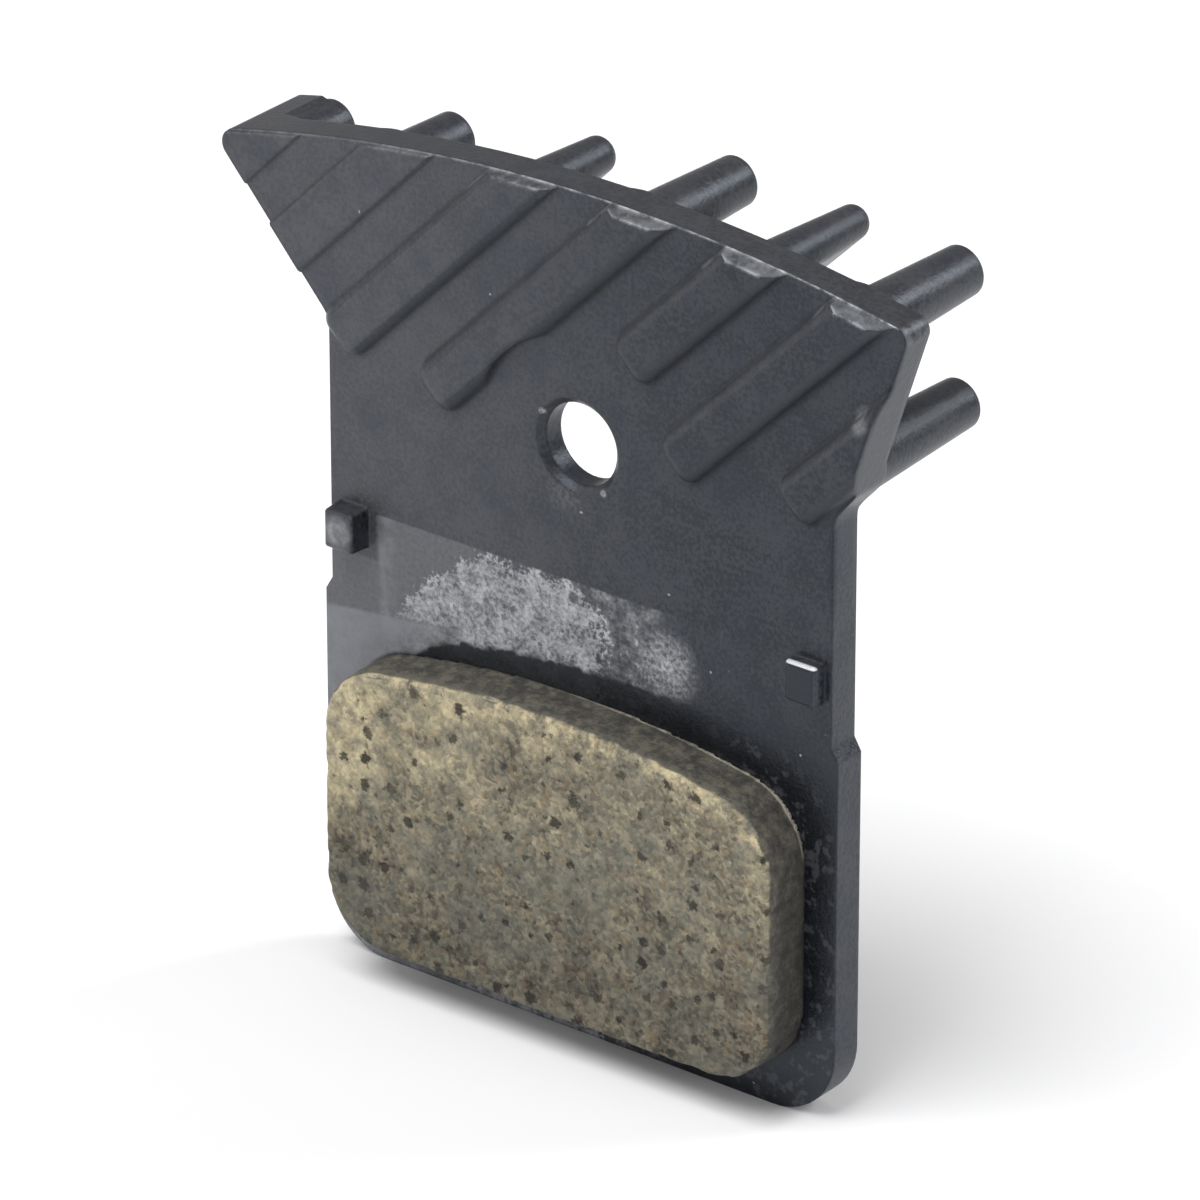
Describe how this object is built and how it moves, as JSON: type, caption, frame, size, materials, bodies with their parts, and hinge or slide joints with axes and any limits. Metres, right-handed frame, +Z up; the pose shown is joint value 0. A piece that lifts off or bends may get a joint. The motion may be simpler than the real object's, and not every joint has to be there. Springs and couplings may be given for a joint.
{
  "type": "bicycle disc brake pad",
  "caption": "Bicycle disc brake pad: a flat backing plate with an axle hole, slanting cooling fins under a flared top edge, and an arched block of friction compound bonded to its front.",
  "frame": {"origin": "on the axis of the axle hole, at the middle of the plate's thickness", "axes": "+Z up, from the friction block towards the finned crest; +Y along the axle hole, from the friction face towards the fins; +X to the right when the friction face is looked at"},
  "size_m": [0.0353, 0.0116, 0.0389],
  "materials": {
    "coated_aluminium": "dark grey satin coating with bare metal on worn edges",
    "friction_compound": "dry granular resin compound with light and dark specks"
  },
  "bodies": {
    "root": {"backing_plate": "coated_aluminium", "friction_pad": "friction_compound"}
  },
  "joints": []
}
